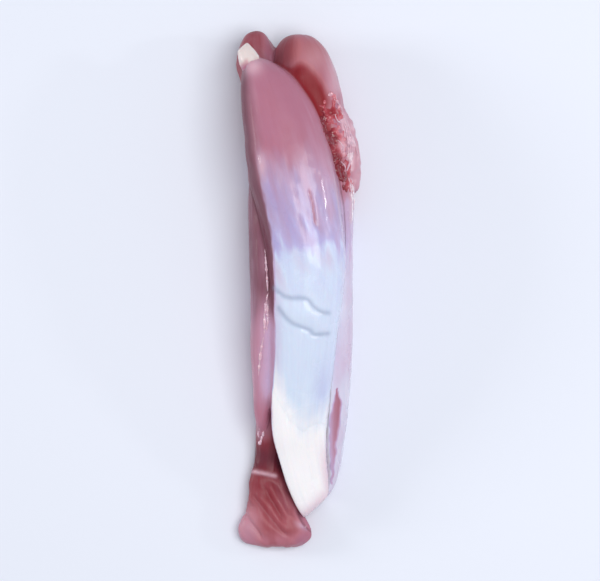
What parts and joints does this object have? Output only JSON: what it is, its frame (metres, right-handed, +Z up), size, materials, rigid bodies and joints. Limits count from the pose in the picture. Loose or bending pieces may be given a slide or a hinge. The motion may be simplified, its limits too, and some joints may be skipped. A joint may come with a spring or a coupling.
{
  "type": "raw lamb shank",
  "caption": "Raw boneless lamb shank lying down: a long bundle of muscles under silverskin that tapers into a flat white heel tendon, with a torn fringe and a loose flap.",
  "frame": {"origin": "middle of the shank's box, on the surface it rests on", "axes": "+Y to the knee end, +X to the side where the inner head and its torn fringe show, +Z up through the silverskin side"},
  "size_m": [0.0424, 0.1734, 0.0354],
  "materials": {
    "raw_meat": "wet raw muscle under thin lilac to pale blue silverskin, soft gloss",
    "tendon": "wet white tendon, satin with fine fibres"
  },
  "bodies": {
    "root": {"meat": "raw_meat", "heel_tendon": "tendon", "knee_tendon_stub": "tendon"}
  },
  "joints": []
}
